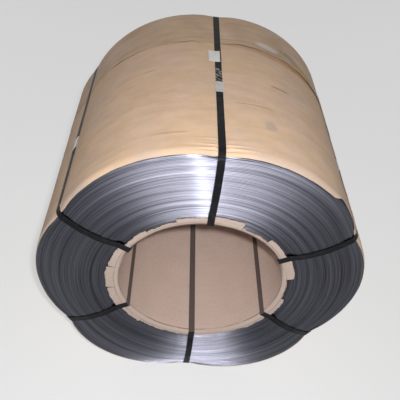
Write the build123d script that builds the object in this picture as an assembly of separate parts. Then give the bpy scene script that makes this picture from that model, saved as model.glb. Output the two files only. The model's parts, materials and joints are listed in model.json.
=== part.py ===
from build123d import *
from math import asin, atan2, cos, degrees, radians, sin, sqrt
import os

# A coil of rectangular steel wire that lies on its side, wrapped in kraft paper, with a board lining in its
# bore and six flat steel straps round its wall. All lengths are in millimetres.
# The coil is drawn with its bore along Z, its front end at +Z and its top strap at +Y. Angles run clockwise
# from the top strap, seen from the front. The last lines lay it down on the floor with +Z up.

# Wire coil
coil_width = 650.0
bore_diameter = 400.0
lobe_radius = 399.0  # bore axis to the crown of the fullest lobe
lobe_slack = 9.0  # how much lower the flattest lobe stands
lobe_slack_shares = (0.05, 1.0, 0.65, 0.0, 1.0, 0.55)  # the lobe after each strap
strap_bite = 36.0  # how far the tightest strap draws the outer turns in
strap_bite_shares = (0.28, 0.4, 1.0, 1.0, 0.7, 0.5)  # from the top strap on
seat_margin = 9.0  # flat of the outer turns beside a strap
seat_blend = 35.0  # hollow radius between a strap's seat and the lobes beside it
rim_bevel = 10.0  # the outermost turns lie back at both ends
crown_height = 11.0  # how far the middle turns stand out of both ends
crown_rise_shares = (  # share of the wall outside the bore, share of the height, with steps from turn to turn
    (0.17, 0.0),
    (0.25, 0.57),
    (0.26, 0.7),
    (0.40, 1.0),
)
crown_fall_shares = (
    (0.63, 1.0),
    (0.77, 0.7),
    (0.78, 0.57),
    (0.91, 0.0),
)

# Paper on the outside
paper_thickness = 0.6
paper_setback = 4.0  # from the end of the coil to the edge of the paper, part way round the rim
rear_band_start = 468.0  # from the front end of the coil

# Board lining of the bore
liner_thickness = 2.5
liner_clearance = 0.5
fold_bevel = 6.0  # where the lining turns out over the end, and the edge of the bore under it
tab_root = 2.5  # ring between the fold and the slits
tab_reach = 31.0  # longest tab, from the clear bore outwards
slit_width = 2.0
tab_reach_shares = (
    0.87, 0.39, 0.74,
    0.94, 0.39, 0.71,
    0.52, 0.45, 0.48,
    0.48, 0.52, 0.68,
    0.94, 1.0, 0.87,
    0.61, 0.48, 0.71,
)

# Straps and their seals
strap_names = ("top", "upper_right", "lower_right", "bottom", "lower_left", "upper_left")
strap_width = 16.0
strap_thickness = 0.5
strap_clearance = 0.25  # from its edges to the lining
tail_length = 76.0
seal_length = 45.0
seal_thickness = 0.8
seal_gap = 0.2  # beside the strap
seal_distance = 254.0  # from the front end of the coil to the middle of a seal
crimp_width = 5.0
crimp_depth = 1.4
crimp_place_shares = (-0.22, 0.22)  # along the seal, from its middle

# Blank card on the top strap
tag_width = 28.0
tag_length = 54.0
tag_thickness = 0.4
tag_distance = 398.0  # from the front end of the coil to the middle of the card
tag_offset = 9.0  # to the left of the strap's middle

cut_overrun = 1.0
bevel_growth_share = 2 - sqrt(2)  # of a layer's thickness, so that the layer is as thick on a bevel

bore_radius = bore_diameter / 2
half_width = coil_width / 2
strap_count = len(strap_names)
strap_pitch = 360 / strap_count
seat_width = strap_width + 2 * seat_margin
clear_radius = bore_radius - liner_clearance - liner_thickness
end_height = half_width + liner_thickness
strap_inner = sqrt(clear_radius**2 - (strap_width / 2) ** 2) - strap_clearance


def clockwise(radius, angle):
    """The point at this radius and angle from the top."""
    return Vector(radius * sin(radians(angle)), radius * cos(radians(angle)))


def seat_radius(strap, wall_share=1.0):
    """Bore axis to the seat of a strap, on the turn this share of the wall outside the bore."""
    full = lobe_radius - strap_bite * strap_bite_shares[strap % strap_count]
    return bore_radius + (full - bore_radius) * wall_share


def crown_radius(lobe, wall_share=1.0):
    """Bore axis to the crown of a lobe, on the turn this share of the wall outside the bore."""
    full = lobe_radius - lobe_slack * lobe_slack_shares[lobe]
    return bore_radius + (full - bore_radius) * wall_share


def seat_end(strap, side, wall_share):
    """The end of a strap's flat seat, on the side before the strap (-1) or after it (1)."""
    angle = strap * strap_pitch
    along = clockwise(seat_width / 2, angle + 90)
    return clockwise(seat_radius(strap, wall_share), angle) + along * side


def lobe_arc(lobe, wall_share=1.0):
    """The round back of a lobe, from the seat of its strap to the seat of the next strap."""
    crown = clockwise(crown_radius(lobe, wall_share), (lobe + 0.5) * strap_pitch)
    return ThreePointArc(seat_end(lobe, 1, wall_share), crown, seat_end(lobe + 1, -1, wall_share))


def turn_face(wall_share=1.0):
    """The face inside one turn of the wire: round near the bore, six lobes and six seats at the outside."""
    outline = Curve()
    for strap in range(strap_count):
        outline += Line(seat_end(strap, -1, wall_share), seat_end(strap, 1, wall_share))
        outline += lobe_arc(strap, wall_share)
    return make_face(outline)


def bevelled_drum(paper):
    """The coil's outside, grown by the paper on it, with its two rims bevelled to match."""
    outline = fillet(turn_face().vertices(), seat_blend)
    if paper:
        outline = offset(outline, paper)
    drum = extrude(outline, half_width + paper, both=True)
    ends = drum.faces().sort_by(Axis.Z)
    return chamfer(ends[0].edges() + ends[-1].edges(), rim_bevel + bevel_growth_share * paper)


def end_slope(shares):
    """A drum whose side slopes from turn to turn by these shares of the wall and of the crown's height."""
    by_height = sorted(shares, key=lambda share: share[1])
    return loft([Pos(Z=crown_height * height) * turn_face(wall) for wall, height in by_height], ruled=True)


def end_crown():
    """The turns that stand out of an end between its bore and its rim."""
    return end_slope(crown_fall_shares) - end_slope(crown_rise_shares)


def wire_coil():
    coil = bevelled_drum(0) - Cylinder(bore_radius, coil_width + 2 * cut_overrun)
    bore_edges = coil.edges().filter_by(GeomType.CIRCLE).filter_by(lambda edge: edge.radius == bore_radius)
    coil = chamfer(bore_edges, fold_bevel)
    crown = Pos(Z=half_width) * end_crown()
    return coil + crown + mirror(crown, Plane.XY)


def paper_sleeve(layer, front_distance):
    """One layer of paper, from this distance behind the front end to the rear end."""
    sleeve = bevelled_drum(layer * paper_thickness) - bevelled_drum((layer - 1) * paper_thickness)
    length = coil_width - paper_setback - front_distance
    reach = 2 * (lobe_radius + layer * paper_thickness + cut_overrun)
    return sleeve & Pos(Z=half_width - front_distance - length / 2) * Box(reach, reach, length)


def half_section(inner, outer, height):
    """A face from one radius to another, and its corners at the bore."""
    face = Pos((inner + outer) / 2) * Rectangle(outer - inner, height)
    return face, face.vertices().group_by(Axis.X)[0]


def bore_liner():
    inner = clear_radius + fold_bevel
    root = inner + tab_root
    outside, outer_folds = half_section(clear_radius, root, 2 * end_height)
    outside = chamfer(outer_folds, fold_bevel)
    hollow, inner_folds = half_section(clear_radius + liner_thickness, root + cut_overrun, coil_width)
    hollow = chamfer(inner_folds, fold_bevel - bevel_growth_share * liner_thickness)
    liner = revolve(Plane.XZ * (outside - hollow), Axis.Z)
    tab_count = len(tab_reach_shares)
    width = 2 * inner * sin(radians(180 / tab_count)) - slit_width
    tabs = Circle(root) - Circle(inner)
    for place, reach_share in enumerate(tab_reach_shares):
        reach = clear_radius + tab_reach * reach_share
        strip = Rot(Z=-(place + 0.5) * 360 / tab_count) * Pos(Y=reach / 2) * Rectangle(width, reach)
        tabs += (Circle(reach) - Circle(inner)) & strip
    tabs = extrude(tabs, liner_thickness)
    return liner + Pos(Z=half_width) * tabs + Pos(Z=-end_height) * tabs


def strap_outside(strap):
    """Bore axis to the underside of a strap along the outside of the coil."""
    return seat_radius(strap) + 2 * paper_thickness


def strap_loop(strap):
    """Closed loop through the bore and along the outside, with the tail that overlaps under its seal."""
    outside = strap_outside(strap)
    rim_bend = rim_bevel + liner_thickness - (1 - bevel_growth_share) * 2 * paper_thickness
    rests = [(strap_inner, end_height), (clear_radius + tab_reach, end_height)]
    for wall_share, height_share in crown_rise_shares[2:] + crown_fall_shares[:2]:
        height = half_width + crown_height * height_share + strap_clearance
        rests.append((seat_radius(strap, wall_share), height))
    rests += [(seat_radius(strap, crown_fall_shares[-1][0]), end_height), (outside, end_height)]
    rear_rests = [(radius, -height) for radius, height in reversed(rests)]
    hollow = make_face(Polyline(*rests, *rear_rests, close=True))
    hollow = fillet(hollow.vertices().group_by(Axis.X)[0], fold_bevel)
    hollow = fillet(hollow.vertices().group_by(Axis.X)[-1], rim_bend)
    loop = offset(hollow, strap_thickness, kind=Kind.INTERSECTION) - hollow
    band = extrude(Plane.YZ * loop, strap_width / 2, both=True)
    tail = Box(strap_width, strap_thickness, tail_length)
    return band + Pos(0, outside + 1.5 * strap_thickness, half_width - seal_distance) * tail


def strap_seal(strap):
    """Metal channel pressed over the two layers of strap, with a pair of crimps in each side."""
    slot_width = strap_width + 2 * seal_gap
    slot_height = 2 * strap_thickness
    outer_width = slot_width + 2 * seal_thickness
    height = slot_height + seal_thickness
    section = Pos(Y=height / 2) * Rectangle(outer_width, height)
    section -= Pos(Y=slot_height / 2) * Rectangle(slot_width, slot_height)
    seal = extrude(section, seal_length / 2, both=True)
    crimp = Box(2 * crimp_depth, 2 * height, crimp_width)
    for place_share in crimp_place_shares:
        for side in (-1, 1):
            seal -= Pos(side * outer_width / 2, height, place_share * seal_length) * crimp
    return Pos(0, strap_outside(strap), half_width - seal_distance) * seal


def blank_tag():
    card = Box(tag_width, tag_thickness, tag_length)
    top = strap_outside(0) + strap_thickness + tag_thickness / 2
    return Pos(-tag_offset, top, half_width - tag_distance) * card


def rest_turn():
    """Turn, counter-clockwise, that brings the two lobes beside the bottom strap down to one level."""
    right = lobe_arc(strap_count // 2 - 1)
    left = lobe_arc(strap_count // 2)
    between = right.arc_center - left.arc_center
    return degrees(asin((right.radius - left.radius) / between.length) - atan2(between.Y, between.X))


def axis_height(turn):
    """Floor to bore axis, with the paper under the lobes."""
    left = lobe_arc(strap_count // 2)
    centre = left.arc_center.rotate(Axis.Z, turn)
    return left.radius + 2 * paper_thickness - centre.Y


parts = {
    "wire_coil": wire_coil(),
    "kraft_wrap": paper_sleeve(1, paper_setback),
    "rear_band": paper_sleeve(2, rear_band_start),
    "bore_liner": bore_liner(),
    "blank_tag": blank_tag(),
}
for strap, name in enumerate(strap_names):
    place = Rot(Z=-strap * strap_pitch)
    parts["strap_" + name] = place * strap_loop(strap)
    parts["seal_" + name] = place * strap_seal(strap)

turn = rest_turn()
laid_down = Pos(Z=axis_height(turn)) * Rot(X=90) * Rot(Z=turn)
os.makedirs("parts", exist_ok=True)
for name, solid in parts.items():
    export_step(laid_down * solid, f"parts/{name}.step")
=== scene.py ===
import json
from math import atan2, ceil, cos, exp, pi, radians, sin, sqrt

import bmesh
import bpy
from bpy.props import FloatProperty, FloatVectorProperty, IntProperty, PointerProperty
from mathutils import Matrix, Vector, noise
from mathutils.bvhtree import BVHTree


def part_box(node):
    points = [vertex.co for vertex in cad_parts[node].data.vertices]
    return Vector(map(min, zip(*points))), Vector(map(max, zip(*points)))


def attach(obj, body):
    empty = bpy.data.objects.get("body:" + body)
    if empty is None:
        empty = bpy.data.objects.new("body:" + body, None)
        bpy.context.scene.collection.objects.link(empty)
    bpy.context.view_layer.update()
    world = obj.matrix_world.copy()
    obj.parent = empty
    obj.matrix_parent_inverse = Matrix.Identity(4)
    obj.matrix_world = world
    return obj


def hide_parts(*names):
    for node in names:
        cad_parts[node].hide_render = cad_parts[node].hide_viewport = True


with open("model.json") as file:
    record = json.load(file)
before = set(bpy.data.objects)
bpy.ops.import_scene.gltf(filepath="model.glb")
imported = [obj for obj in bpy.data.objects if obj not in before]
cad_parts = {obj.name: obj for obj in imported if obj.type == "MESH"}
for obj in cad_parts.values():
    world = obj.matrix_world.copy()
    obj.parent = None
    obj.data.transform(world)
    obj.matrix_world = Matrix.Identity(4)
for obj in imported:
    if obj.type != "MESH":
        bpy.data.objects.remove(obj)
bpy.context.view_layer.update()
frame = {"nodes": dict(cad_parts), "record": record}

bl_info = {
    "name": "Strapped wire coil",
    "version": (1, 0, 0),
    "blender": (4, 5, 0),
    "location": "View3D > Sidebar > Coil",
    "description": "Dresses a paper wrapped coil of flat steel wire around its packed solids",
    "category": "Object",
}

MM = 0.001
BORE = next(mount for mount in frame["record"]["mounts"] if mount["name"] == "bore")
AXIS = Vector(BORE["pos_m"])
CLEAR_RADIUS = BORE["dims"]["r_mm"] * MM
BOARD = 2.5 * MM  # thickness of the lining board
BORE_RADIUS = CLEAR_RADIUS + BOARD + 0.5 * MM  # innermost turn of wire
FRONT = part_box("bore_liner")[0].y + BOARD  # end of the coil at its bore and at its rim
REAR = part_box("bore_liner")[1].y - BOARD
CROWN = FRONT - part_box("wire_coil")[0].y  # how far the middle turns stand out of both ends
CROWN_SHARES = (  # share of the wall from the bore outwards, share of the crown
    (0.17, 0.0), (0.255, 0.62), (0.4, 0.98), (0.515, 1.0), (0.63, 0.98), (0.775, 0.62), (0.91, 0.0))
RIM_DEPTH = 10 * MM  # the rim lies back over this much of the wall
RIM_LENGTH = 8.3 * MM  # and this much of the coil's width, or more along the top
DRAWN_WIDTH = 26 * MM  # this near to a strap, the rim lies back over more of both
DRAWN_DEPTH = 2 * MM
DRAWN_LENGTH = 3 * MM
PAPER_RADIUS = 390 * MM  # middling radius at which lengths round the paper are measured
STRAPS = ("top", "upper_right", "lower_right", "bottom", "lower_left", "upper_left")
UV_NAME = "wound"
LOW_LIT = "lit_from_below"  # collection of what the two low lamps light


def linear(code):
    """A colour written as sRGB hex, such as #C8A880, in Blender's linear values."""
    channels = [int(code[i:i + 2], 16) / 255 for i in (1, 3, 5)]
    return tuple(c / 12.92 if c <= 0.04045 else ((c + 0.055) / 1.055) ** 2.4 for c in channels)


def smooth_step(low, high, value):
    """0 below low, 1 above high and a smooth rise between them."""
    t = min(max((value - low) / (high - low), 0.0), 1.0)
    return t * t * (3 - 2 * t)


def span(start, full, fade, end, value):
    """1 from full to fade, with a smooth rise from start and a smooth fall to end."""
    return smooth_step(start, full, value) * (1 - smooth_step(fade, end, value))


def hump(value, middle, width):
    """1 at the middle, fading to both sides."""
    return exp(-((value - middle) / width) ** 2)


# Places on the coil: angles run clockwise from straight up, seen from the front

def angle_of(point):
    return atan2(point.x - AXIS.x, point.z - AXIS.z)


def radius_of(point):
    return sqrt((point.x - AXIS.x) ** 2 + (point.z - AXIS.z) ** 2)


def on_coil(radius, angle, y):
    return Vector((AXIS.x + radius * sin(angle), y, AXIS.z + radius * cos(angle)))


def node_middle(node):
    low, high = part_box(node)
    return (low + high) / 2


STRAP_ANGLES = [angle_of(node_middle("strap_" + name)) for name in STRAPS]
TOP_STRAP = STRAP_ANGLES[0]
BOTTOM_STRAP = STRAP_ANGLES[3]


def turn_between(angle, other):
    """The signed turn from other to angle, at most half a turn."""
    return (angle - other + pi) % (2 * pi) - pi


def nearest_strap(angle):
    """The number of the nearest strap and the signed turn from it."""
    turns = [turn_between(angle, strap) for strap in STRAP_ANGLES]
    number = min(range(len(turns)), key=lambda i: abs(turns[i]))
    return number, turns[number]


def beside_strap(angle):
    """The distance round the paper from the middle of the nearest strap."""
    return abs(nearest_strap(angle)[1]) * PAPER_RADIUS


def round_noise(angle, waves, seed):
    """Smooth noise round the coil that meets itself where it started."""
    return noise.noise(Vector((waves * sin(angle), waves * cos(angle), seed)))


def node_tree(node):
    mesh = frame["nodes"][node].data
    return BVHTree.FromPolygons([v.co for v in mesh.vertices], [p.vertices for p in mesh.polygons])


def node_radius(tree, angle, y):
    """The radius at which a line towards the bore's axis first meets a node."""
    start = on_coil(1.0, angle, y)
    hit = tree.ray_cast(start, on_coil(0.0, angle, y) - start)[0]
    if hit is None:
        raise RuntimeError("no surface at this angle")
    return radius_of(hit)


class Outline:
    """The radius of a node's outside at each angle, read half way along the node."""

    STEPS = 720

    def __init__(self, node):
        tree = node_tree(node)
        y = node_middle(node).y
        self.radii = [node_radius(tree, 2 * pi * step / self.STEPS, y) for step in range(self.STEPS)]
        self.mean = sum(self.radii) / self.STEPS

    def at(self, angle):
        place = (angle / (2 * pi)) % 1.0 * self.STEPS
        step = int(place)
        part = place - step
        return self.radii[step % self.STEPS] * (1 - part) + self.radii[(step + 1) % self.STEPS] * part


def crown_at(share):
    """How far the turn at this share of the wall stands out of the end."""
    for (inner, low), (outer, high) in zip(CROWN_SHARES, CROWN_SHARES[1:]):
        if inner <= share <= outer:
            return CROWN * (low + (high - low) * (share - inner) / (outer - inner))
    return 0.0


def turn_radius(share, wall, outside):
    """Radius of the turn at this share of the mean wall: only the outer turns follow the outside's lobes."""
    return BORE_RADIUS + share * wall + (outside - BORE_RADIUS - wall) * share ** 4


def rim_size(angle):
    """Depth and length over which the rim lies back, more where a strap draws it in."""
    near = hump(beside_strap(angle), 0.0, DRAWN_WIDTH)
    up = max(cos(angle), 0.0)
    return RIM_DEPTH + DRAWN_DEPTH * near, RIM_LENGTH * (1 + 2 * up) + DRAWN_LENGTH * near


def rim_drop(angle, y):
    """How far the outside lies in from the outline at this y, where the rims lie back."""
    depth, length = rim_size(angle)
    return depth * max(1 - min(y - FRONT, REAR - y) / length, 0.0) ** 2


def rim_back(angle, below):
    """How far the end lies back at this distance below the outside."""
    depth, length = rim_size(angle)
    return length * max(1 - sqrt(max(below, 0.0) / depth), 0.0)


# Settings that a user would change

def length_setting(name, description, size):
    """A length, given in millimetres."""
    return FloatProperty(name=name, description=description, default=size * MM, unit="LENGTH", precision=4)


def colour_setting(name, description, code):
    return FloatVectorProperty(name=name, description=description, default=linear(code), subtype="COLOR")


class WireSettings(bpy.types.PropertyGroup):
    turn_pitch: length_setting("Turn pitch", "Thickness of one turn of wire across the wall", 2.7)
    groove: length_setting("Groove", "Depth of the groove between two turns on the ends", 0.8)
    stagger: length_setting("Stagger", "How far turns stand out of line on the ends", 1.4)
    segments: IntProperty(name="Segments", description="Steps round the coil", default=192, min=48)
    colour: colour_setting("Steel", "Colour of the drawn steel", "#74747F")
    dark: colour_setting("Oiled steel", "Colour of turns that hold more drawing oil", "#292A30")


class PaperSettings(bpy.types.PropertyGroup):
    thickness: length_setting("Thickness", "Thickness of the layers of paper together", 0.6)
    wave: length_setting("Wave", "Height of the slack waves in the paper", 1.2)
    crease: length_setting("Crease", "Height of the creases in the paper", 0.8)
    pucker: length_setting("Pucker", "Height of the puckers beside a strap", 5.5)
    colour: colour_setting("Kraft", "Colour of the clean kraft paper", "#DDBC9C")
    aged: colour_setting("Aged kraft", "Colour of the kraft where it has aged", "#D8BBA6")
    rear_colour: colour_setting("Rear kraft", "Colour of the handled rear band", "#CDB092")


class LiningSettings(bpy.types.PropertyGroup):
    fold: length_setting("Fold", "Radius where the board turns out over the end", 6.0)
    tab_reach: length_setting("Tab reach", "Longest tab, from the clear bore outwards", 31.0)
    colour: colour_setting("Board", "Colour of the lining board", "#C8B1A5")
    tab_colour: colour_setting("Tabs", "Colour of the folded tabs", "#BBA79C")


class StrapSettings(bpy.types.PropertyGroup):
    width: length_setting("Width", "Width of a strap", 16.0)
    thickness: length_setting("Thickness", "Thickness of a strap", 0.5)
    colour: colour_setting("Lacquer", "Colour of the black strap lacquer", "#101014")
    worn: colour_setting("Worn strap", "Colour of the steel where lacquer has rubbed off", "#4A4A48")
    dust_and_sheen: colour_setting("Dust", "Colour of the dust on the straps in the bore", "#6A605C")


class SealSettings(bpy.types.PropertyGroup):
    length: length_setting("Length", "Length of a seal along its strap", 45.0)
    thickness: length_setting("Thickness", "Thickness of the seal's metal", 0.8)
    crimp: length_setting("Crimp", "Depth of the crimps in a seal's sides", 1.4)
    colour: colour_setting("Zinc", "Colour of the zinc plated seals", "#C9C8C6")


class CardSettings(bpy.types.PropertyGroup):
    curl: length_setting("Curl", "How far the corners of the card lift", 1.6)
    colour: colour_setting("Card", "Colour of the blank card", "#E6E5E1")


class StageSettings(bpy.types.PropertyGroup):
    lens: FloatProperty(name="Lens", description="Focal length of the camera, in mm", default=50.34)
    stand_off: length_setting("Stand-off", "Camera to the front end of the coil, along the bore", 866.5)
    height: length_setting("Height", "Camera above the bore's axis", 1053.1)
    pitch: FloatProperty(
        name="Pitch", description="How far the camera looks down", default=radians(42.11), subtype="ANGLE")
    strap_lean: FloatProperty(
        name="Strap lean", description="How far the top strap leans to the right in the picture",
        default=radians(6.5), subtype="ANGLE")
    floor_colour: colour_setting("Floor", "Colour of the pale floor", "#F2F2F2")


# Mesh helpers

def new_piece(name, bm, material, node, sharp=None):
    """Turns a bmesh into a shown piece that rides on the coil and stands for a solid."""
    mesh = bpy.data.meshes.new(name)
    for face in bm.faces:
        face.smooth = True
    bm.to_mesh(mesh)
    bm.free()
    mesh.materials.append(material)
    if sharp:
        mesh.set_sharp_from_angle(angle=sharp)
    piece = bpy.data.objects.new(name, mesh)
    bpy.context.scene.collection.objects.link(piece)
    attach(piece, "root")
    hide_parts(node)
    return piece


def joined(bm, verts, closed):
    """Edges from each vertex to the next, and back to the first one where the line is closed."""
    edges = [bm.edges.new(pair) for pair in zip(verts, verts[1:])]
    if closed:
        edges.append(bm.edges.new((verts[-1], verts[0])))
    return edges


def spun(points, segments, closed, grooves=()):
    """A bmesh of a line of (radius, y) points turned once round the bore's axis, with sharp grooves."""
    bm = bmesh.new()
    groove = bm.verts.layers.int.new("groove")
    verts = [bm.verts.new(on_coil(radius, BOTTOM_STRAP, y)) for radius, y in points]
    for number in grooves:
        verts[number][groove] = 1
    edges = joined(bm, verts, closed)
    bmesh.ops.spin(
        bm, geom=verts + edges, cent=AXIS, axis=(0, 1, 0), angle=2 * pi, steps=segments, use_merge=True)
    bmesh.ops.recalc_face_normals(bm, faces=bm.faces)
    for edge in bm.edges:
        if all(vert[groove] for vert in edge.verts):
            edge.smooth = False
    return bm


def wound_uv(bm, radius, across):
    """A UV map in metres: round the coil at this radius from the top strap, across(point) the other way."""
    layer = bm.loops.layers.uv.new(UV_NAME)
    for face in bm.faces:
        centre_angle = angle_of(face.calc_center_median())
        middle = turn_between(centre_angle, TOP_STRAP)
        for loop in face.loops:
            turn = middle + turn_between(angle_of(loop.vert.co), centre_angle)
            loop[layer].uv = (turn * radius, across(loop.vert.co))


def thicken(bm, thickness, pick, towards_axis):
    """Gives a sheet its thickness behind the side it shows.

    pick, min or max, finds a face by its distance from the bore's axis, and towards_axis says which way
    that face looks before the sheet grows out of its back.
    """
    bmesh.ops.recalc_face_normals(bm, faces=bm.faces)
    face = pick(bm.faces, key=lambda face: radius_of(face.calc_center_median()))
    centre = face.calc_center_median()
    from_axis = centre - Vector((AXIS.x, centre.y, AXIS.z))
    if (face.normal.dot(from_axis) < 0) != towards_axis:
        bmesh.ops.reverse_faces(bm, faces=bm.faces)
    bmesh.ops.solidify(bm, geom=bm.faces[:], thickness=thickness)
    bmesh.ops.recalc_face_normals(bm, faces=bm.faces)


def strap_frame(angle, radius, y):
    """The matrix that takes X across a strap, Y along the bore and Z outwards, to a place on the coil."""
    outwards = on_coil(1.0, angle, 0.0) - on_coil(0.0, angle, 0.0)
    along = Vector((0.0, 1.0, 0.0))
    axes = Matrix((along.cross(outwards), along, outwards)).transposed()
    return Matrix.Translation(on_coil(radius, angle, y)) @ axes.to_4x4()


# Materials

# Settings that many nodes share
COLOURS = {"data_type": "RGBA"}
SHADED = {"data_type": "RGBA", "blend_type": "MULTIPLY"}
SOFT = {"interpolation_type": "SMOOTHSTEP"}
SUM = {"operation": "ADD"}
PRODUCT = {"operation": "MULTIPLY"}
LARGER = {"operation": "MAXIMUM"}
WOUND = {"uv_map": UV_NAME}


def fill(tree, node, inputs):
    """Links each input that is given a socket, and sets any other."""
    for name, value in inputs.items():
        if isinstance(value, bpy.types.NodeSocket):
            tree.links.new(value, node.inputs[name])
        else:
            node.inputs[name].default_value = value


def add(tree, kind, settings=None, inputs=None, output=None):
    """Adds a shader node with its settings, and gives its named output, or else its first one in use."""
    node = tree.nodes.new("ShaderNode" + kind)
    for name, value in (settings or {}).items():
        setattr(node, name, value)
    fill(tree, node, inputs or {})
    if output:
        return node.outputs[output]
    return next((socket for socket in node.outputs if socket.enabled), None)


def new_material(name):
    """An empty material with its Principled shader already joined to the output."""
    material = bpy.data.materials.new(name)
    material.use_nodes = True
    tree = material.node_tree
    tree.nodes.clear()
    surface = add(tree, "BsdfPrincipled")
    add(tree, "OutputMaterial", inputs={"Surface": surface})
    return material, tree, surface.node


def rgba(colour):
    return (*colour, 1.0)


# Drawn and rolled carbon steel wire: fine lines along every turn, so its gloss fans out across the turns and
# the turns that hold drawing oil look darker. Along a turn the tone changes slowly, over 0.3 to 1.2 m.
def drawn_steel(settings):
    material, tree, shader = new_material("drawn_steel_wire")
    uv = add(tree, "UVMap", WOUND)
    bands = add(tree, "Mapping", inputs={"Vector": uv, "Scale": (0.8, 1 / (11 * MM), 1)})
    band = add(tree, "TexNoise", inputs={"Vector": bands, "Scale": 1.0, "Detail": 3.0, "Roughness": 0.7})
    lines = add(tree, "Mapping", inputs={"Vector": uv, "Scale": (3.5, 1 / (2.2 * MM), 1)})
    line = add(tree, "TexNoise", inputs={"Vector": lines, "Scale": 1.0, "Detail": 2.0})
    both = add(tree, "Math", SUM, {0: band, 1: line})
    spread = add(tree, "MapRange", inputs={"Value": both, "From Min": 0.65, "From Max": 1.35})
    tone = add(tree, "Mix", COLOURS, {
        "Factor": spread, "A": rgba(settings.dark), "B": rgba(settings.colour)})
    gloss = add(tree, "MapRange", inputs={"Value": spread, "To Min": 0.49, "To Max": 0.43})
    tangent = add(tree, "Tangent", {"direction_type": "UV_MAP", "uv_map": UV_NAME})
    fill(tree, shader, {
        "Base Color": tone, "Roughness": gloss, "Tangent": tangent,
        "Metallic": 1.0, "Anisotropic": 1.0, "Anisotropic Rotation": 0.257})
    return material


def painted_line(tree, tone, run, place, width, tint, most, strength):
    """Draws a soft line across a sheet at this place of its run, where strength lets it show."""
    off = add(tree, "Math", {"operation": "SUBTRACT"}, {0: run, 1: place})
    apart = add(tree, "Math", {"operation": "ABSOLUTE"}, {0: off})
    line = add(tree, "MapRange", SOFT, {
        "Value": apart, "From Min": width, "From Max": 0.3 * width, "To Max": most})
    shown = add(tree, "Math", PRODUCT, {0: line, 1: strength})
    return add(tree, "Mix", COLOURS, {"Factor": shown, "A": tone, "B": rgba(linear(tint))})


# Unbleached kraft paper: matt and fibrous, with cloudy patches, faint streaks round the wrap and fine
# crumples. Its fibres are drawn 3 mm across, as coarse as they need to show.
def kraft_paper(name, colour, aged, soil, marks, lines):
    material, tree, shader = new_material(name)
    uv = add(tree, "UVMap", WOUND)
    cloud = add(tree, "TexNoise", inputs={
        "Vector": uv, "Scale": 1 / (70 * MM), "Detail": 6.0, "Roughness": 0.62})
    streaks = add(tree, "Mapping", inputs={"Vector": uv, "Scale": (1 / (90 * MM), 1 / (22 * MM), 1)})
    streak = add(tree, "TexNoise", inputs={"Vector": streaks, "Scale": 1.0, "Detail": 4.0})
    fibre = add(tree, "TexNoise", inputs={"Vector": uv, "Scale": 1 / (3 * MM), "Detail": 3.0})
    mixed = add(tree, "Math", SUM, {0: cloud, 1: streak})
    patches = add(tree, "MapRange", inputs={
        "Value": mixed, "From Min": 0.7, "From Max": 1.2, "To Min": 1.0 - soil, "To Max": 1.0})
    fibres = add(tree, "MapRange", inputs={
        "Value": fibre, "From Min": 0.3, "From Max": 0.7, "To Min": 0.94, "To Max": 1.05})
    shade = add(tree, "Math", PRODUCT, {0: patches, 1: fibres})
    age = add(tree, "TexNoise", inputs={"Vector": uv, "Scale": 1 / (130 * MM), "Detail": 3.0})
    ageing = add(tree, "MapRange", inputs={"Value": age, "From Min": 0.4, "From Max": 0.62, "To Max": 0.7})
    tinted = add(tree, "Mix", COLOURS, {"Factor": ageing, "A": rgba(colour), "B": rgba(aged)})
    tone = add(tree, "Mix", SHADED, {"Factor": 1.0, "A": tinted, "B": shade})
    # Marks: stains and smudges, and on the sleeve also painted shade along its creases
    for turn, back, width, length, tint, most in marks:
        place = add(tree, "Mapping", inputs={
            "Vector": uv, "Scale": (1 / width, 1 / length, 1),
            "Location": (-turn * PAPER_RADIUS / width, -(FRONT + back) / length, 0)})
        off = add(tree, "VectorMath", {"operation": "LENGTH"}, {0: place})
        broken = add(tree, "Math", SUM, {0: off, 1: mixed})
        mask = add(tree, "MapRange", SOFT, {
            "Value": broken, "From Min": 1.7, "From Max": 1.35, "To Max": most})
        tone = add(tree, "Mix", COLOURS, {"Factor": mask, "A": tone, "B": rgba(linear(tint))})
    run = add(tree, "SeparateXYZ", inputs={"Vector": uv}, output="Y")
    uneven = add(tree, "MapRange", inputs={"Value": age, "From Min": 0.42, "From Max": 0.58, "To Min": 0.2})
    # Lines along the run: painted shade and painted highlight along the sheet's edges
    for place, width, tint, most in lines:
        tone = painted_line(tree, tone, run, place, width, tint, most, uneven)
    crumple = add(tree, "TexNoise", {"noise_type": "RIDGED_MULTIFRACTAL"}, {
        "Vector": uv, "Scale": 1 / (38 * MM), "Detail": 3.0, "Roughness": 0.55})
    crumpled = add(tree, "Bump", inputs={"Strength": 0.45, "Distance": 2.0 * MM, "Height": crumple})
    bump = add(tree, "Bump", inputs={
        "Strength": 0.25, "Distance": 0.4 * MM, "Height": fibre, "Normal": crumpled})
    fill(tree, shader, {"Base Color": tone, "Normal": bump, "Roughness": 0.7, "Specular IOR Level": 0.3})
    return material


# Painted shade: dark lines round both ends of the lining, where it is folded and slit, for the shade in its
# creases; the upper-half one is a painted shadow under the top lip
CREASE_SHADE_TINT = "#46382F"
CREASE_STRAY = 5 * MM
CREASE_SHADES = (  # distance inside the coil's end, along the board; half width, strength, upper half alone
    (5 * MM, 2.4 * MM, 0.6, False),
    (-4 * MM, 7.5 * MM, 0.95, True),
    (-13 * MM, 1.4 * MM, 0.5, False),
)
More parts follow.
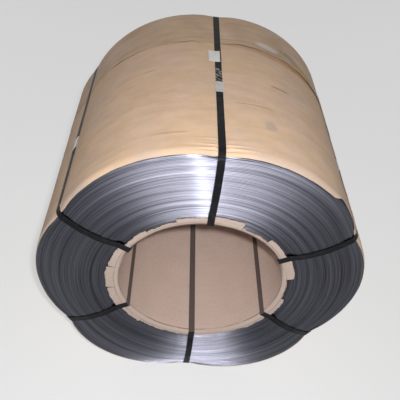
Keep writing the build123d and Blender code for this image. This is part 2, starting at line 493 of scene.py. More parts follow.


# Grey kraft board, rolled into the bore: matt, with faint streaks round it, a little darker on its tabs, with
# painted crease shade and a painted shadow under the top lip
def lining_board(settings):
    material, tree, shader = new_material("kraft_lining_board")
    uv = add(tree, "UVMap", WOUND)
    streaks = add(tree, "Mapping", inputs={"Vector": uv, "Scale": (1 / (90 * MM), 1 / (5 * MM), 1)})
    streak = add(tree, "TexNoise", inputs={"Vector": streaks, "Scale": 1.0, "Detail": 4.0})
    cloud = add(tree, "TexNoise", inputs={"Vector": uv, "Scale": 1 / (50 * MM), "Detail": 5.0})
    mixed = add(tree, "Math", SUM, {0: cloud, 1: streak})
    spread = add(tree, "MapRange", inputs={
        "Value": mixed, "From Min": 0.7, "From Max": 1.3, "To Min": 0.95, "To Max": 1.03})
    patchy = add(tree, "MapRange", inputs={
        "Value": cloud, "From Min": 0.42, "From Max": 0.55, "To Min": 0.25})
    coords = add(tree, "TexCoord", output="Object")
    axes = add(tree, "SeparateXYZ", inputs={"Vector": coords}).node.outputs
    depth = add(tree, "Math", {"operation": "ABSOLUTE"}, {0: axes["Y"]})
    tab = add(tree, "MapRange", SOFT, {
        "Value": depth, "From Min": REAR - 8 * MM, "From Max": REAR + 1 * MM})
    board = add(tree, "Mix", COLOURS, {
        "Factor": tab, "A": rgba(settings.colour), "B": rgba(settings.tab_colour)})
    fleck = add(tree, "TexNoise", inputs={"Vector": uv, "Scale": 1 / (6 * MM), "Detail": 4.0})
    flecks = add(tree, "MapRange", inputs={
        "Value": fleck, "From Min": 0.3, "From Max": 0.7, "To Min": 0.94, "To Max": 1.06})
    shade = add(tree, "Math", PRODUCT, {0: spread, 1: flecks})
    tone = add(tree, "Mix", SHADED, {"Factor": 1.0, "A": board, "B": shade})
    run = add(tree, "SeparateXYZ", inputs={"Vector": uv}, output="Y")
    strayed = add(tree, "Math", {"operation": "MULTIPLY_ADD"}, {0: cloud, 1: CREASE_STRAY, 2: run})
    # Mask of the painted shadow under the top lip: the upper half alone
    top_lip_shadow = add(tree, "MapRange", SOFT, {
        "Value": axes["Z"], "From Min": AXIS.z + 40 * MM, "From Max": AXIS.z + 120 * MM})
    # Paints the crease shade lines and the shadow under the top lip
    for inside, width, most, above in CREASE_SHADES:
        strength = top_lip_shadow if above else patchy
        for place in (FRONT + inside, REAR - inside):
            middle = place + CREASE_STRAY / 2
            tone = painted_line(tree, tone, strayed, middle, width, CREASE_SHADE_TINT, most, strength)
    bump = add(tree, "Bump", inputs={"Strength": 0.12, "Distance": 0.5 * MM, "Height": streak})
    fill(tree, shader, {"Base Color": tone, "Normal": bump, "Roughness": 0.7, "Specular IOR Level": 0.3})
    return material


# Black lacquered steel strapping: a dull gloss, rubbed grey in patches, lighter in the bore for dust and a
# painted sheen, and scored about every 3.5 mm by the tensioning tool between the two ys of scored
def strap_lacquer(name, settings, scored):
    material, tree, shader = new_material(name)
    coords = add(tree, "TexCoord", output="Object")
    rub = add(tree, "TexNoise", inputs={
        "Vector": coords, "Scale": 1 / (18 * MM), "Detail": 6.0, "Roughness": 0.7})
    worn = add(tree, "MapRange", SOFT, {"Value": rub, "From Min": 0.5, "From Max": 0.8, "To Max": 0.4})
    tone = add(tree, "Mix", COLOURS, {
        "Factor": worn, "A": rgba(settings.colour), "B": rgba(settings.worn)})
    spread = add(tree, "Mapping", inputs={"Vector": coords, "Location": -AXIS, "Scale": (1, 0, 1)})
    across = add(tree, "VectorMath", {"operation": "LENGTH"}, {0: spread})
    # Dust and painted sheen: the straps in the bore are made lighter
    bore_dust_and_sheen = add(tree, "MapRange", SOFT, {
        "Value": across, "From Min": CLEAR_RADIUS + 2 * MM, "From Max": CLEAR_RADIUS - 1 * MM, "To Max": 0.7})
    tone = add(tree, "Mix", COLOURS, {"Factor": bore_dust_and_sheen, "A": tone, "B": rgba(settings.dust_and_sheen)})
    if scored:
        low, high = scored
        y = add(tree, "SeparateXYZ", inputs={"Vector": coords}, output="Y")
        after = add(tree, "Math", {"operation": "GREATER_THAN"}, {0: y, 1: low})
        before = add(tree, "Math", {"operation": "LESS_THAN"}, {0: y, 1: high})
        bite = add(tree, "TexWave", {"bands_direction": "DIAGONAL"}, {
            "Vector": coords, "Scale": 0.16 / (3.5 * MM), "Distortion": 6.0, "Detail": 2.0,
            "Detail Scale": 2.0}, "Fac")
        marks = add(tree, "MapRange", SOFT, {"Value": bite, "From Min": 0.6, "From Max": 0.85, "To Max": 0.6})
        within = add(tree, "Math", PRODUCT, {0: after, 1: before})
        shown = add(tree, "Math", PRODUCT, {0: within, 1: marks})
        tone = add(tree, "Mix", COLOURS, {"Factor": shown, "A": tone, "B": rgba(linear("#A9A49C"))})
    gloss = add(tree, "MapRange", inputs={
        "Value": rub, "From Min": 0.3, "From Max": 0.7, "To Min": 0.42, "To Max": 0.58})
    fill(tree, shader, {"Base Color": tone, "Roughness": gloss, "Specular IOR Level": 0.14})
    return material


# Zinc plated steel: bright grey and softly mottled by the plating's spangle
def zinc_plate(settings):
    material, tree, shader = new_material("zinc_plated_seal")
    coords = add(tree, "TexCoord", output="Object")
    mottle = add(tree, "TexNoise", inputs={"Vector": coords, "Scale": 1 / (4 * MM), "Detail": 4.0})
    gloss = add(tree, "MapRange", inputs={
        "Value": mottle, "From Min": 0.3, "From Max": 0.7, "To Min": 0.45, "To Max": 0.6})
    shade = add(tree, "MapRange", inputs={
        "Value": mottle, "From Min": 0.3, "From Max": 0.7, "To Min": 0.8, "To Max": 1.0})
    tone = add(tree, "Mix", SHADED, {"Factor": 1.0, "A": rgba(settings.colour), "B": shade})
    fill(tree, shader, {"Base Color": tone, "Roughness": gloss, "Metallic": 0.8})
    return material


# Uncoated white card, faintly smudged by handling
def plain_card(settings):
    material, tree, shader = new_material("blank_white_card")
    coords = add(tree, "TexCoord", output="Object")
    smudge = add(tree, "TexNoise", inputs={"Vector": coords, "Scale": 1 / (14 * MM), "Detail": 4.0})
    shade = add(tree, "MapRange", inputs={
        "Value": smudge, "From Min": 0.35, "From Max": 0.65, "To Min": 0.86, "To Max": 1.0})
    tone = add(tree, "Mix", SHADED, {"Factor": 1.0, "A": rgba(settings.colour), "B": shade})
    fill(tree, shader, {"Base Color": tone, "Roughness": 0.6})
    return material


# Operators, one for each piece or group of like pieces

class COIL_OT_wire(bpy.types.Operator):
    """Winds the wire: a turned ring with a groove between each two turns, drawn in under the straps"""

    bl_idname = "coil.wire"
    bl_label = "Wound wire"

    CORNER = 6 * MM  # the bore starts behind the fold of its lining
    BAND = 17 * MM  # neighbouring turns stand out together in bands about this wide
    FLAT = (0.22, 0.78)  # shares of a turn's thickness between which its edge is flat
    WOBBLE = 0.6 * MM  # most that one turn lies back somewhere on its way round
    FRONT_SEED = 3.1
    REAR_SEED = 5.9

    def end_points(self, settings, wall, turns, seed):
        """Points from the bore to the rim across one end: (radius, distance back from the end)."""
        pitch = wall / turns
        points = []
        for turn in range(turns):
            middle = (turn + 0.5) * pitch
            band = noise.noise(Vector((middle / self.BAND, seed, 0.0)))
            single = noise.noise(Vector((turn * 0.83, seed + 4.6, 0.0)))
            back = max(settings.stagger * (0.5 - 0.4 * band - 0.4 * single), 0.0)
            points += [(BORE_RADIUS + (turn + share) * pitch, back) for share in self.FLAT]
            points.append((BORE_RADIUS + (turn + 1.0) * pitch, back + settings.groove))
        return points

    def execute(self, context):
        settings = context.scene.coil_wire
        outline = Outline("wire_coil")
        wall = outline.mean - BORE_RADIUS
        turns = round(wall / settings.turn_pitch)
        front = self.end_points(settings, wall, turns, self.FRONT_SEED)
        rear = self.end_points(settings, wall, turns, self.REAR_SEED)
        points = [(BORE_RADIUS, FRONT + self.CORNER)]
        points += [(radius, FRONT + back) for radius, back in front]
        points += [(radius, REAR - back) for radius, back in reversed(rear)]
        points += [(BORE_RADIUS, REAR - self.CORNER)]
        bm = spun(points, settings.segments, True, range(3, len(points) - 1, 3))
        wound_uv(bm, wall / 2 + BORE_RADIUS, radius_of)
        for vert in bm.verts:
            angle = angle_of(vert.co)
            share = (radius_of(vert.co) - BORE_RADIUS) / wall
            outside = outline.at(angle)
            radius = turn_radius(share, wall, outside)
            middle = (max(ceil(share * turns - 0.01), 1) - 0.5) / turns  # a turn stands out as one
            crown = crown_at((turn_radius(middle, wall, outside) - BORE_RADIUS) / (outside - BORE_RADIUS))
            wobble = noise.noise(Vector((share * 40, 2 * sin(angle), 2 * cos(angle))))
            back = self.WOBBLE * max(wobble, 0.0) + rim_back(angle, outside - radius) - crown
            vert.co = on_coil(radius, angle, vert.co.y + (back if vert.co.y < 0 else -back))
        piece = new_piece("wound_wire", bm, drawn_steel(settings), "wire_coil")
        bpy.data.collections[LOW_LIT].objects.link(piece)
        return {"FINISHED"}


# Paper

# Marks: turn from the top strap, distance behind the front end, width, length, colour, strength
# The four thin dark sleeve marks are painted shade along creases in the paper; the grey square one is a
# smudge
SLEEVE_SMUDGE_AND_CREASE_SHADE = (
    (radians(21.4), 304 * MM, 52 * MM, 6 * MM, "#8A6E56", 0.7),
    (radians(11.6), 195 * MM, 66 * MM, 5 * MM, "#94785E", 0.5),
    (radians(16.1), 126 * MM, 30 * MM, 26 * MM, "#A0979A", 0.45),
    (radians(-24.1), 345 * MM, 40 * MM, 5 * MM, "#94785E", 0.5),
    (radians(-14.0), 72 * MM, 80 * MM, 6 * MM, "#A98C70", 0.5),
)
BAND_MARKS = (
    (radians(19), 507 * MM, 56 * MM, 26 * MM, "#E4D6D0", 0.85),
    (radians(36.6), 495 * MM, 76 * MM, 30 * MM, "#B79C35", 0.85),
    (radians(30.5), 518 * MM, 60 * MM, 26 * MM, "#75685F", 0.5),
)

# How far the sleeve's front edge lies behind the end of the coil
EDGE_TOP = 4.5 * MM  # at the top and the bottom
EDGE_SIDES = 8 * MM
SIDES_PLACE = radians(95)
SIDES_WIDTH = radians(30)
EDGE_STRAP = 1.5 * MM  # more at a strap
EDGE_STRAP_WIDTH = 14 * MM
EDGE_UNEVEN = 0.7 * MM
EDGE_RAGGED = 0.2 * MM
LAP = 1.0 * MM  # less where the paper laps further over the rim
LAP_SPAN = [radians(turn) for turn in (12, 16, 30, 35)]  # from the top strap
TEAR = 15 * MM  # more where the edge is torn
TEAR_SPAN = [radians(turn) for turn in (39, 45, 54, 58)]
EDGE_FADE = 30 * MM  # the shape of an edge fades over this length behind it
PAPER_MARGIN = 0.6 * MM  # outermost that paper starts from an end of the coil

# How the paper stands off the wire
WAVE_LENGTH = 110 * MM
CREASE_LENGTH = 30 * MM
PATCH_LENGTH = 160 * MM  # creases come in patches
STRAP_HOLD = (9 * MM, 34 * MM)  # beside a strap, where its hold on the paper starts and ends
RIM_HOLD = 14 * MM
PUCKERS = ((12 * MM, 0.8), (21 * MM, 1.0), (33 * MM, 0.5), (52 * MM, 0.3))  # distance from the end, height
PUCKER_WIDTH = 2.6 * MM
PUCKER_STRAY = 7 * MM
PUCKER_ROOT = (8 * MM, 11 * MM)  # a pucker rises here beside the strap
PUCKER_REACH = 20 * MM
PUCKER_BEND = 70 * MM
LESSER_PUCKER = 0.35  # share of the height beside the other straps than the top one
GAPE = 4 * MM  # the paper stands off at the torn edge
GAPE_PLACE = radians(42.5)
GAPE_WIDTH = radians(4)


def edge_set_back(angle):
    """How far behind the coil's end the front edge of the sleeve lies at this angle."""
    turn = turn_between(angle, TOP_STRAP)
    set_back = EDGE_TOP * abs(cos(angle)) + EDGE_SIDES * hump(abs(angle), SIDES_PLACE, SIDES_WIDTH)
    set_back += EDGE_STRAP * hump(beside_strap(angle), 0.0, EDGE_STRAP_WIDTH)
    set_back += EDGE_UNEVEN * round_noise(angle, 14, 8.1) + EDGE_RAGGED * round_noise(angle, 60, 2.7)
    return set_back - LAP * span(*LAP_SPAN, turn) + TEAR * span(*TEAR_SPAN, turn)


def paper_lift(settings, angle, y):
    """How far the paper stands off the wire: slack waves, creases, and puckers beside the straps."""
    number, turn = nearest_strap(angle)
    beside = abs(turn) * PAPER_RADIUS
    behind = y - FRONT
    wave = round_noise(angle, 5, y / WAVE_LENGTH)
    fold = round_noise(angle, 8, y / CREASE_LENGTH + 20)
    patch = smooth_step(0.0, 0.4, round_noise(angle, 3, y / PATCH_LENGTH + 50))
    crease = max(1 - 9 * abs(fold), 0.0) ** 2 * patch
    slack = settings.wave * (0.5 + 0.5 * wave) + settings.crease * crease
    slack *= smooth_step(*STRAP_HOLD, beside) * smooth_step(0.0, RIM_HOLD, behind)
    pucker = 0.0
    for ridge, (place, height) in enumerate(PUCKERS):
        side = 3.1 if turn > 0 else 0.0
        stray = noise.noise(Vector((number * 7.3 + ridge * 2.9, side, beside / PUCKER_BEND)))
        pucker += height * (1 + stray) * hump(behind, place + PUCKER_STRAY * stray, PUCKER_WIDTH)
    pucker *= smooth_step(*PUCKER_ROOT, beside) * exp(-max(beside - PUCKER_ROOT[1], 0.0) / PUCKER_REACH)
    if number:
        pucker *= LESSER_PUCKER
    gape = hump(turn_between(angle, TOP_STRAP), GAPE_PLACE, GAPE_WIDTH) * exp(-behind / EDGE_FADE)
    return slack + settings.pucker * pucker + GAPE * gape


def paper_band(outline, ys, segments, place):
    """A sheet round the coil at these ys; place gives each point's (y, lift off its outline)."""
    bm = spun([(outline.mean, y) for y in ys], segments, False)
    wound_uv(bm, PAPER_RADIUS, lambda point: point.y)
    for vert in bm.verts:
        angle = angle_of(vert.co)
        y, lift = place(angle, vert.co.y)
        vert.co = on_coil(outline.at(angle) - rim_drop(angle, y) + lift, angle, y)
        vert.co.z = max(vert.co.z, 0.0)
    return bm


class COIL_OT_sleeve(bpy.types.Operator):
    """Wraps the kraft paper sleeve round the wire, slack between the straps and puckered beside them"""

    bl_idname = "coil.sleeve"
    bl_label = "Kraft paper sleeve"

    FINE = 80 * MM  # the puckered stretch behind the front edge has closer rows
    FINE_ROWS = 56
    ROWS = 74
    SEGMENTS = 320
    REAR_MARGIN = 6 * MM  # under the rear band
    SOIL = 0.16

    def execute(self, context):
        settings = context.scene.coil_paper
        start = FRONT + PAPER_MARGIN
        end = REAR - self.REAR_MARGIN
        plain = start + self.FINE
        ys = [start + self.FINE * (row / self.FINE_ROWS) ** 1.5 for row in range(self.FINE_ROWS)]
        ys += [plain + (end - plain) * row / self.ROWS for row in range(self.ROWS + 1)]

        def place(angle, y):
            moved = y + edge_set_back(angle) * exp(-(y - start) / EDGE_FADE)
            return moved, paper_lift(settings, angle, moved)

        bm = paper_band(Outline("kraft_wrap"), ys, self.SEGMENTS, place)
        thicken(bm, settings.thickness, max, False)
        front_edge_shade = ((start, 24 * MM, "#BCAA9C", 0.6),)  # painted shade along the front edge, which tones down the light that the rounded rim catches
        paper = kraft_paper("kraft_paper", settings.colour, settings.aged, self.SOIL, SLEEVE_SMUDGE_AND_CREASE_SHADE, front_edge_shade)
        new_piece("kraft_sleeve", bm, paper, "kraft_wrap")
        return {"FINISHED"}


class COIL_OT_rear_band(bpy.types.Operator):
    """Lays the second band of paper over the rear of the sleeve, with its loose front edge"""

    bl_idname = "coil.rear_band"
    bl_label = "Rear paper band"

    ROWS = 60
    SEGMENTS = 288
    SOIL = 0.22
    STRAP_HOLD = (9 * MM, 45 * MM)
    EDGE_WAVE = 6 * MM
    LOOSE = 0.8 * MM
    RIGHT_PLACE = radians(24)  # from the top strap
    RIGHT_WIDTH = radians(20)
    PULLED = 14 * MM  # to the right, the edge is pulled forwards
    RAISED = 8.0 * MM  # and stands off

    def execute(self, context):
        settings = context.scene.coil_paper
        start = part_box("rear_band")[0].y
        end = REAR - PAPER_MARGIN
        ys = [start + (end - start) * (row / self.ROWS) ** 1.3 for row in range(self.ROWS + 1)]

        def place(angle, y):
            free = smooth_step(*self.STRAP_HOLD, beside_strap(angle)) * exp(-(y - start) / EDGE_FADE)
            right = hump(turn_between(angle, TOP_STRAP), self.RIGHT_PLACE, self.RIGHT_WIDTH)
            loose = 0.5 + 0.5 * round_noise(angle, 9, 4.4)
            wavy = round_noise(angle, 16, 1.9)
            moved = y + free * (self.EDGE_WAVE * wavy - self.PULLED * right)
            lift = paper_lift(settings, angle, moved)
            return moved, lift + free * (self.LOOSE * loose + self.RAISED * right)

        bm = paper_band(Outline("rear_band"), ys, self.SEGMENTS, place)
        thicken(bm, settings.thickness, max, False)
        hem_shadow_and_highlight = (  # the turned edge of the band: a painted shadow under its lifted edge, a painted highlight along its turned fold and a painted shade line behind that
            (start, 6 * MM, "#5B4433", 0.85),
            (start + 14 * MM, 11 * MM, "#CBAA88", 0.5),
            (start + 27 * MM, 4 * MM, "#7A614C", 0.4),
        )
        paper = kraft_paper(
            "handled_kraft_paper", settings.rear_colour, settings.aged, self.SOIL, BAND_MARKS, hem_shadow_and_highlight)
        new_piece("kraft_rear_band", bm, paper, "rear_band")
        return {"FINISHED"}


class COIL_OT_lining(bpy.types.Operator):
    """Rolls the board lining into the bore and folds its slit ends out over the wire as tabs"""

    bl_idname = "coil.lining"
    bl_label = "Bore lining"

    REACH_SHARES = (  # of each tab, clockwise from the top strap
        0.87, 0.39, 0.74, 0.94, 0.39, 0.71, 0.52, 0.45, 0.48,
        0.48, 0.52, 0.68, 0.94, 1.0, 0.87, 0.61, 0.48, 0.71)
    TABS = len(REACH_SHARES)
    TAB_TURN = 2 * pi / TABS
    STEPS = 24  # steps round each tab, one of them the slit
    ROWS = 3  # steps along each tab
    SLIT_SHARE = 0.012
    FANNED = (0, 6, 7, 8, 9, 10, 15, 16, 17)  # tabs whose slits have stayed nearly shut
    FANNED_SPREAD = 0.95
    OPEN_SPREAD = 0.3
    RAGGED = 2.4 * MM
    CURL = 0.35 * MM
    LEAST_STEP = 0.5 * MM
    FOLD_STEPS = 6
    WALL_STEPS = 24

    def profile(self, fold):
        """Points from the front tabs' root through the bore to the rear tabs' root: (radius, y)."""
        arc = [pi / 2 * step / self.FOLD_STEPS for step in range(self.FOLD_STEPS + 1)]
        rise = [(CLEAR_RADIUS + fold * (1 - sin(a)), fold * (1 - cos(a))) for a in arc]
        low = FRONT - BOARD
        high = REAR + BOARD
        front = [(radius, low + depth) for radius, depth in rise]
        rear = [(radius, high - depth) for radius, depth in reversed(rise)]
        walls = [
            (CLEAR_RADIUS, low + fold + (high - low - 2 * fold) * step / self.WALL_STEPS)
            for step in range(1, self.WALL_STEPS)
        ]
        return front + walls + rear

    def tabs_from_top(self, point):
        """How many tabs lie between the top strap and this point, clockwise."""
        return (angle_of(point) - TOP_STRAP) % (2 * pi) / (2 * pi) * self.TABS

    def narrow_slits(self, bm):
        """Draws the last step of each tab, where it is slit, in to the width of the slit."""
        for vert in bm.verts:
            tab, place = divmod(round(self.tabs_from_top(vert.co) * self.STEPS), self.STEPS)
            share = place / (self.STEPS - 1) * (1 - self.SLIT_SHARE)
            vert.co = on_coil(radius_of(vert.co), TOP_STRAP + (tab + share) * self.TAB_TURN, vert.co.y)

    def fold_tabs(self, bm, settings, y, out):
        """Folds one end's tabs out in rows; out is the way from the end into the open."""
        rim = [edge for edge in bm.edges if edge.is_boundary and abs(edge.verts[0].co.y - y) < 0.1 * MM]
        tabs = {}
        for edge in rim:
            place = self.tabs_from_top((edge.verts[0].co + edge.verts[1].co) / 2)
            if place % 1 < 1 - self.SLIT_SHARE:
                tabs.setdefault(int(place), []).append(edge)
        for number, chain in tabs.items():
            middle = TOP_STRAP + (number + 0.5) * self.TAB_TURN
            spread = self.FANNED_SPREAD if number in self.FANNED else self.OPEN_SPREAD
            reach = settings.tab_reach * self.REACH_SHARES[number] - settings.fold
            for row in range(1, self.ROWS + 1):
                last = row == self.ROWS
                made = bmesh.ops.extrude_edge_only(bm, edges=chain)["geom"]
                verts = [item for item in made if isinstance(item, bmesh.types.BMVert)]
                chain = [item for item in made if isinstance(item, bmesh.types.BMEdge) and item.is_boundary]
                chain = [edge for edge in chain if all(vert in verts for vert in edge.verts)]
                for vert in verts:
                    ragged = noise.noise(vert.co * 150 + Vector((0, 0, number * 3.7)))
                    ragged += 0.8 * noise.noise(vert.co * 60 + Vector((0, 0, number * 1.9)))
                    step = max(reach / self.ROWS + (self.RAGGED * ragged if last else 0.0), self.LEAST_STEP)
                    curl = self.CURL * noise.noise(vert.co * 30) if last else 0.0
                    angle = middle + spread * turn_between(angle_of(vert.co), middle)
                    vert.co += on_coil(step, angle, out * curl) - on_coil(0.0, angle, 0.0)

    def execute(self, context):
        settings = context.scene.coil_lining
        bm = spun(self.profile(settings.fold), self.TABS * self.STEPS, False)
        self.narrow_slits(bm)
        self.fold_tabs(bm, settings, FRONT - BOARD, -1)
        self.fold_tabs(bm, settings, REAR + BOARD, 1)

        def along(point):
            spread = radius_of(point) - CLEAR_RADIUS
            return point.y + (spread if point.y > 0 else -spread)

        wound_uv(bm, CLEAR_RADIUS, along)
        thicken(bm, BOARD, min, True)
        new_piece("board_lining", bm, lining_board(settings), "bore_liner", radians(45))
        return {"FINISHED"}


class COIL_OT_straps(bpy.types.Operator):
    """Bends the steel straps round the wall of the coil, with the overlap of each one under its seal"""

    bl_idname = "coil.straps"
    bl_label = "Straps"

    BORE_GAP = 0.4 * MM
    TAB_GAP = 0.2 * MM
    END_GAP = 0.25 * MM
    BEND = 6 * MM
    TAIL = 76 * MM
    TABS_END = 31 * MM  # from the clear bore outwards
    CROWN_STOPS = (0.26, 0.4, 0.515, 0.63, 0.77)  # shares of the wall where a strap bends over the crown
    RIM_STOPS = (0.0, 0.1, 0.3, 0.6, 1.0)  # shares of the length over which the rim lies back
    SCORED = (FRONT + 275 * MM, FRONT + 340 * MM)  # the top strap, beside its seal
    PLAIN_RUN = REAR - 100 * MM  # a y at which nothing lies on a strap

    def front_corners(self, angle, outside, wire):
        """Corners of a strap's inner face over the front end, from the bore to the outside."""
        level = FRONT - BOARD - self.TAB_GAP
        corners = [(CLEAR_RADIUS - self.BORE_GAP, level), (CLEAR_RADIUS + self.TABS_END, level)]
        for share in self.CROWN_STOPS:
            radius = BORE_RADIUS + share * (wire.at(angle) - BORE_RADIUS)
            corners.append((radius, FRONT - crown_at(share) - self.END_GAP))
        for share in self.RIM_STOPS:
            y = FRONT + share * rim_size(angle)[1]
            corners.append((outside - rim_drop(angle, y), y - self.END_GAP))
        return corners

    def band(self, width, points, angle):
        """A closed strip of this width along these points, with every corner bent round."""
        bm = bmesh.new()
        matrix = strap_frame(angle, 0.0, 0.0)
        verts = [bm.verts.new(matrix @ Vector((-width / 2, y, radius))) for radius, y in points]
        made = bmesh.ops.extrude_edge_only(bm, edges=joined(bm, verts, True))["geom"]
        moved = [item for item in made if isinstance(item, bmesh.types.BMVert)]
        bmesh.ops.translate(bm, verts=moved, vec=matrix.to_3x3() @ Vector((width, 0.0, 0.0)))
        across = [edge for edge in bm.edges if len(edge.link_faces) == 2]
        bmesh.ops.bevel(
            bm, geom=across, offset=self.BEND, offset_type="OFFSET", affect="EDGES", segments=5, profile=0.5,
            material=-1, clamp_overlap=True)
        bmesh.ops.recalc_face_normals(bm, faces=bm.faces)
        return bm

    def lay_tail(self, bm, settings, angle, radius, y):
        """Adds the free end of a strap, which lies on the strap's own outer run under the seal."""
        tail = bmesh.ops.create_cube(bm, size=1.0)["verts"]
        bmesh.ops.scale(bm, verts=tail, vec=(settings.width, self.TAIL, settings.thickness))
        bmesh.ops.transform(bm, verts=tail, matrix=strap_frame(angle, radius, y))

    def execute(self, context):
        settings = context.scene.coil_strap
        lacquer = strap_lacquer("black_lacquered_strap", settings, None)
        scored = strap_lacquer("scored_lacquered_strap", settings, self.SCORED)
        wire = Outline("wire_coil")
        for name, angle in zip(STRAPS, STRAP_ANGLES):
            node = "strap_" + name
            outside = node_radius(node_tree(node), angle, self.PLAIN_RUN) - settings.thickness
            corners = self.front_corners(angle, outside, wire)
            corners += [(radius, -y) for radius, y in reversed(corners)]
            bm = self.band(settings.width, corners, angle)
            thicken(bm, settings.thickness, max, True)
            seal_y = node_middle("seal_" + name).y
            self.lay_tail(bm, settings, angle, outside + 1.5 * settings.thickness, seal_y)
            material = scored if name == "top" else lacquer
            new_piece("strap_band_" + name, bm, material, node, radians(45))
        return {"FINISHED"}


class COIL_OT_seals(bpy.types.Operator):
    """Folds and crimps a seal round the overlap of each strap"""

    bl_idname = "coil.seals"
    bl_label = "Strap seals"

    CORNER = 0.7 * MM
    CUTS = 35
    LIP_SHARE = 0.6  # of the metal's thickness, round the open ends
    OPENING = 2 * MM
    CRIMP_SHARE = 0.22  # of the length, from the middle to a crimp
    CRIMP_WIDTH = 1.9 * MM
    DIMPLE = 0.5 * MM

    def long_edges(self, bm, length):
        return [edge for edge in bm.edges if abs((edge.verts[0].co - edge.verts[1].co).y) > length / 2]

    def execute(self, context):
        settings = context.scene.coil_seal
        strap = context.scene.coil_strap
        zinc = zinc_plate(settings)
        width = strap.width + 2 * settings.thickness
        height = 2 * settings.thickness + 2 * strap.thickness
        for name, angle in zip(STRAPS, STRAP_ANGLES):
            node = "seal_" + name
            y = node_middle(node).y
            top = node_radius(node_tree(node), angle, y)
            bm = bmesh.new()
            bmesh.ops.create_cube(bm, size=1.0)
            bmesh.ops.scale(bm, verts=bm.verts, vec=(width, settings.length, height))
            bmesh.ops.bevel(
                bm, geom=self.long_edges(bm, settings.length), offset=self.CORNER, offset_type="OFFSET",
                affect="EDGES", segments=2, profile=0.5, material=-1)
            bmesh.ops.subdivide_edges(
                bm, edges=self.long_edges(bm, settings.length), cuts=self.CUTS, use_grid_fill=True)
            ends = [face for face in bm.faces if abs(face.normal.y) > 0.9]
            bmesh.ops.inset_individual(
                bm, faces=ends, thickness=settings.thickness * self.LIP_SHARE, depth=-self.OPENING)
            for vert in bm.verts:
                pinch = hump(abs(vert.co.y), self.CRIMP_SHARE * settings.length, self.CRIMP_WIDTH)
                side = abs(vert.co.x) / (width / 2)
                vert.co.x -= settings.crimp * pinch * (vert.co.x / (width / 2)) * side
                if vert.co.z > 0:
                    vert.co.z -= self.DIMPLE * pinch * side
            bmesh.ops.transform(bm, matrix=strap_frame(angle, top - height / 2, y), verts=bm.verts)
            bmesh.ops.recalc_face_normals(bm, faces=bm.faces)
            new_piece("crimped_" + node, bm, zinc, node, radians(40))
        return {"FINISHED"}


class COIL_OT_card(bpy.types.Operator):
    """Lays the blank card on the top strap, with its corners curled up"""

    bl_idname = "coil.card"
    bl_label = "Blank card"

    WIDTH = 28 * MM
    LENGTH = 54 * MM
    THICKNESS = 0.4 * MM

    def execute(self, context):
        settings = context.scene.coil_card
        middle = node_middle("blank_tag")
        angle = angle_of(middle)
        across = radius_of(middle) * sin(turn_between(angle, TOP_STRAP))
        bottom = node_radius(node_tree("blank_tag"), angle, middle.y) - self.THICKNESS
        bm = bmesh.new()
        bmesh.ops.create_grid(bm, x_segments=8, y_segments=14, size=0.5)
        bmesh.ops.scale(bm, verts=bm.verts, vec=(self.WIDTH, self.LENGTH, 1.0))
        for vert in bm.verts:
            corner = (2 * vert.co.x / self.WIDTH) ** 2 * (2 * vert.co.y / self.LENGTH) ** 2
            vert.co.z = settings.curl * corner * (1.0 if vert.co.x * vert.co.y > 0 else 0.5)
        place = strap_frame(TOP_STRAP, bottom, middle.y) @ Matrix.Translation((across, 0.0, 0.0))
        bmesh.ops.transform(bm, matrix=place, verts=bm.verts)
        thicken(bm, self.THICKNESS, max, True)
        new_piece("curled_card", bm, plain_card(settings), "blank_tag", radians(40))
        return {"FINISHED"}


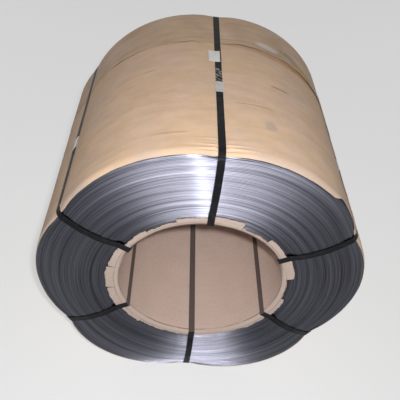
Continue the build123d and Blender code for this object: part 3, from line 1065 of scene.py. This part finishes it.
class COIL_OT_stage(bpy.types.Operator):
    """Sets the pale floor, the lamps and the camera"""

    bl_idname = "coil.stage"
    bl_label = "Floor, lamps and camera"

    FLOOR_SHOWN = 0.6  # share of its own colour that the floor shows, the rest is lit by the lamps
    WORLD_SHOWN = 0.7
    WORLD_LIGHT = 0.1

    def execute(self, context):
        settings = context.scene.coil_stage
        self.floor(context, settings)
        roll = Matrix.Rotation(TOP_STRAP - settings.strap_lean, 3, "Y")
        eye = self.camera(context, settings, roll)
        self.lamps(context, eye, roll)
        self.world(context)
        context.scene.view_settings.view_transform = "Standard"
        return {"FINISHED"}

    def seen(self, tree, most):
        """A factor for rays that show the background, straight or in a reflection, and 0 for all others."""
        path = add(tree, "LightPath").node.outputs
        either = add(tree, "Math", LARGER, {0: path["Is Camera Ray"], 1: path["Is Glossy Ray"]})
        shown = add(tree, "Math", LARGER, {0: either, 1: path["Is Transmission Ray"]})
        return add(tree, "Math", PRODUCT, {0: shown, 1: most})

    def floor(self, context, settings):
        bm = bmesh.new()
        bmesh.ops.create_grid(bm, x_segments=1, y_segments=1, size=6.0)
        mesh = bpy.data.meshes.new("floor")
        bm.to_mesh(mesh)
        bm.free()
        colour = rgba(settings.floor_colour)
        material, tree, shader = new_material("pale_floor")
        fill(tree, shader, {"Base Color": colour, "Roughness": 0.9})
        glow = add(tree, "Emission", inputs={"Color": colour, "Strength": 1.0})
        mixed = add(tree, "MixShader", inputs={
            "Fac": self.seen(tree, self.FLOOR_SHOWN), 1: shader.outputs["BSDF"], 2: glow})
        fill(tree, tree.nodes["Material Output"], {"Surface": mixed})
        mesh.materials.append(material)
        floor = bpy.data.objects.new("floor", mesh)
        context.scene.collection.objects.link(floor)

    def camera(self, context, settings, roll):
        data = bpy.data.cameras.new("camera")
        data.lens = settings.lens
        data.sensor_width = 36.0
        data.clip_start = 0.05
        camera = bpy.data.objects.new("camera", data)
        context.scene.collection.objects.link(camera)
        eye = AXIS + roll @ Vector((0.0, 0.0, settings.height))
        eye.y = FRONT - settings.stand_off
        tilt = Matrix.Rotation(pi / 2 - settings.pitch, 3, "X")
        camera.matrix_world = Matrix.Translation(eye) @ (roll @ tilt).to_4x4()
        context.scene.camera = camera
        return eye

    def lamps(self, context, eye, roll):
        """Adds the lamps; the two low ones light the wire alone, so that its turns gleam."""
        wide = pi
        narrow = radians(30)
        target = Vector((0.0, FRONT + 0.1, AXIS.z))
        upper_wall = on_coil(0.33, 0.0, FRONT)
        lower_wall = on_coil(0.33, pi, FRONT)
        wire = bpy.data.collections.new(LOW_LIT)
        for name, place, aim, size, spread, power, lit in (  # size is the width and height of the lit panel
            ("key_lamp", eye + roll @ Vector((0.05, 0.0, 0.05)), target, (0.04, 0.04), wide, 21.0, None),
            ("low_lamp", Vector((0.08, FRONT - 1.1, 0.1)), upper_wall, (2.2, 0.12), narrow, 5.6, wire),
            ("foot_lamp", Vector((-0.05, FRONT - 1.1, 0.1)), lower_wall, (0.14, 0.12), narrow, 0.45, wire),
            ("left_lamp", AXIS + Vector((-2.4, 1.6, 1.4)), target, (1.6, 1.6), wide, 10.0, None),
            ("right_lamp", AXIS + Vector((2.4, 1.8, 1.4)), target, (1.6, 1.6), wide, 10.0, None),
        ):
            data = bpy.data.lights.new(name, "AREA")
            data.shape = "RECTANGLE"
            data.size, data.size_y = size
            data.spread = spread
            data.energy = power
            lamp = bpy.data.objects.new(name, data)
            lamp.location = place
            lamp.rotation_euler = (aim - place).to_track_quat("-Z", "Y").to_euler()
            lamp.light_linking.receiver_collection = lit
            context.scene.collection.objects.link(lamp)

    def world(self, context):
        world = bpy.data.worlds.new("studio")
        world.use_nodes = True
        tree = world.node_tree
        strength = add(tree, "Math", LARGER, {0: self.seen(tree, self.WORLD_SHOWN), 1: self.WORLD_LIGHT})
        fill(tree, tree.nodes["Background"], {"Color": (1.0, 1.0, 1.0, 1.0), "Strength": strength})
        context.scene.world = world


class COIL_PT_panel(bpy.types.Panel):
    """Lists the pieces of the coil and their settings"""

    bl_idname = "COIL_PT_panel"
    bl_label = "Strapped wire coil"
    bl_space_type = "VIEW_3D"
    bl_region_type = "UI"
    bl_category = "Coil"

    def draw(self, context):
        for operator in OPERATORS:
            self.layout.operator(operator.bl_idname)
        for group in SETTINGS:
            box = self.layout.box()
            settings = getattr(context.scene, group)
            for name in settings.__annotations__:
                box.prop(settings, name)


SETTINGS = {
    "coil_wire": WireSettings,
    "coil_paper": PaperSettings,
    "coil_lining": LiningSettings,
    "coil_strap": StrapSettings,
    "coil_seal": SealSettings,
    "coil_card": CardSettings,
    "coil_stage": StageSettings,
}
OPERATORS = (
    COIL_OT_stage,
    COIL_OT_wire,
    COIL_OT_sleeve,
    COIL_OT_rear_band,
    COIL_OT_lining,
    COIL_OT_straps,
    COIL_OT_seals,
    COIL_OT_card,
)


def register():
    for group in SETTINGS.values():
        bpy.utils.register_class(group)
    for name, group in SETTINGS.items():
        setattr(bpy.types.Scene, name, PointerProperty(type=group))
    for operator in OPERATORS:
        bpy.utils.register_class(operator)
    bpy.utils.register_class(COIL_PT_panel)


def unregister():
    bpy.utils.unregister_class(COIL_PT_panel)
    for operator in reversed(OPERATORS):
        bpy.utils.unregister_class(operator)
    for name, group in reversed(SETTINGS.items()):
        delattr(bpy.types.Scene, name)
        bpy.utils.unregister_class(group)


def main():
    register()
    bpy.ops.coil.stage()
    bpy.ops.coil.wire()
    bpy.ops.coil.sleeve()
    bpy.ops.coil.rear_band()
    bpy.ops.coil.lining()
    bpy.ops.coil.straps()
    bpy.ops.coil.seals()
    bpy.ops.coil.card()


if __name__ == "__main__":
    main()
